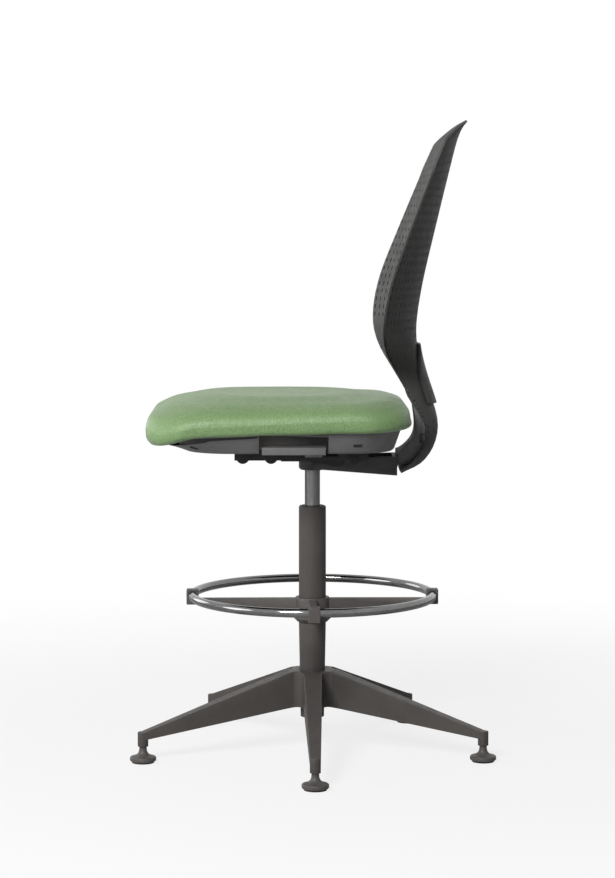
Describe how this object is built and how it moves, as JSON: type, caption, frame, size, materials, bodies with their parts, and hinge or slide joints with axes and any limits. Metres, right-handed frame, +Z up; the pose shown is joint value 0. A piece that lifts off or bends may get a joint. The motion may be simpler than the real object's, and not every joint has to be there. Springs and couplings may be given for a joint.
{
  "type": "drafting stool",
  "caption": "Tall drafting stool with padded seat, reclining perforated back, gas lift, sliding chrome foot ring and a star base on glides",
  "frame": {"origin": "on the floor, on the column's axis, at the centre of the circle of glides", "axes": "+Z up, -Y the way the sitter faces, +X the sitter's left"},
  "size_m": [0.6357, 0.666, 1.163],
  "materials": {
    "powder_coat": "satin powder coat",
    "dark_nylon": "satin moulded",
    "black_plastic": "matte moulded",
    "chrome": "polished chrome",
    "dark_chrome": "ground and dark chromed",
    "steel": "zinc plated",
    "black_steel": "black e-coat",
    "cast_housing": "dark powder coat",
    "rubber": "matte",
    "shell_plastic": "fine texture",
    "back_plastic": "fine texture",
    "plywood": "bare",
    "green_vinyl": "pebbled, soft sheen"
  },
  "bodies": {
    "base": {"bearing_lower_washer": "steel", "column_tube": "powder_coat", "glide_foot_1": "dark_nylon", "glide_foot_2": "dark_nylon", "glide_foot_3": "dark_nylon", "glide_foot_4": "dark_nylon", "glide_foot_5": "dark_nylon", "glide_sole_1": "rubber", "glide_sole_2": "rubber", "glide_sole_3": "rubber", "glide_sole_4": "rubber", "glide_sole_5": "rubber", "glide_stem_1": "steel", "glide_stem_2": "steel", "glide_stem_3": "steel", "glide_stem_4": "steel", "glide_stem_5": "steel", "guide_bush": "black_plastic", "star_base": "powder_coat"},
    "spindle": {"piston_rod": "steel", "piston_head": "steel", "bearing_balls": "steel", "bearing_cage": "black_plastic", "bearing_upper_washer": "steel", "bump_stop": "rubber", "retaining_clip": "steel", "clip_washer": "steel"},
    "foot_ring": {"ring_tube": "chrome", "ring_hub": "dark_nylon", "ring_collet": "black_plastic", "ring_clip_1": "dark_nylon", "ring_clip_2": "dark_nylon", "ring_clip_3": "dark_nylon", "ring_clip_4": "dark_nylon"},
    "ring_lock": {"ring_lock_nut": "dark_nylon"},
    "seat": {"gas_cylinder": "dark_chrome", "mech_housing": "cast_housing", "housing_screws": "steel", "seat_frame": "black_steel", "pivot_shaft": "steel", "pivot_bush_left": "black_plastic", "pivot_bush_right": "black_plastic", "lever_pin_left": "steel", "lever_pin_right": "steel", "recline_spring_left": "steel", "recline_spring_right": "steel", "seat_shell": "shell_plastic", "seat_board": "plywood", "seat_screws": "steel", "seat_cushion": "green_vinyl"},
    "valve": {"valve_button": "steel"},
    "height_paddle": {"height_lever": "shell_plastic"},
    "lock_paddle": {"lock_lever": "shell_plastic"},
    "brake": {"brake_pad": "steel"},
    "back": {"back_arm": "cast_housing", "back_carrier": "shell_plastic", "back_shell": "back_plastic", "rear_cover": "back_plastic", "back_screws": "steel", "arm_screws": "steel"}
  },
  "joints": [
    {"name": "swivel", "type": "hinge", "parent": "base", "child": "spindle", "pos_m": [0, 0, 0.075], "axis": [0, 0, 1], "continuous": true},
    {"name": "height_lift", "type": "slide", "parent": "spindle", "child": "seat", "axis": [0, 0, 1], "range_m": [-0.06, 0.13]},
    {"name": "back_recline", "type": "hinge", "parent": "seat", "child": "back", "pos_m": [0, 0.045, 0.546], "axis": [-1, 0, 0], "range_deg": [0, 18], "stiffness_Nm_per_rad": 130, "springref_deg": -18.33, "deforming": ["recline_spring_left", "recline_spring_right"]},
    {"name": "height_lever_lift", "type": "hinge", "parent": "seat", "child": "height_paddle", "pos_m": [-0.064, 0, 0.559], "axis": [0, 1, 0], "range_deg": [0, 4], "stiffness_Nm_per_rad": 12, "springref_deg": -2.86},
    {"name": "valve_press", "type": "slide", "parent": "seat", "child": "valve", "axis": [0, 0, -1], "range_m": [0, 0.0045]},
    {"name": "lock_lever_lift", "type": "hinge", "parent": "seat", "child": "lock_paddle", "pos_m": [0.064, 0, 0.559], "axis": [0, -1, 0], "range_deg": [0, 4], "stiffness_Nm_per_rad": 12, "springref_deg": -2.86},
    {"name": "brake_slide", "type": "slide", "parent": "seat", "child": "brake", "axis": [-1, 0, 0], "range_m": [0, 0.00121]},
    {"name": "foot_ring_slide", "type": "slide", "parent": "base", "child": "foot_ring", "axis": [0, 0, 1], "range_m": [-0.04, 0.1]},
    {"name": "ring_lock_turn", "type": "hinge", "parent": "foot_ring", "child": "ring_lock", "pos_m": [0, 0, 0.248], "axis": [0, 0, 1], "range_deg": [0, 60]}
  ],
  "couplings": [
    {"joint": "valve_press", "follows": "height_lever_lift", "m_per_rad": 0.064},
    {"joint": "brake_slide", "follows": "lock_lever_lift", "m_per_rad": 0.017189}
  ]
}
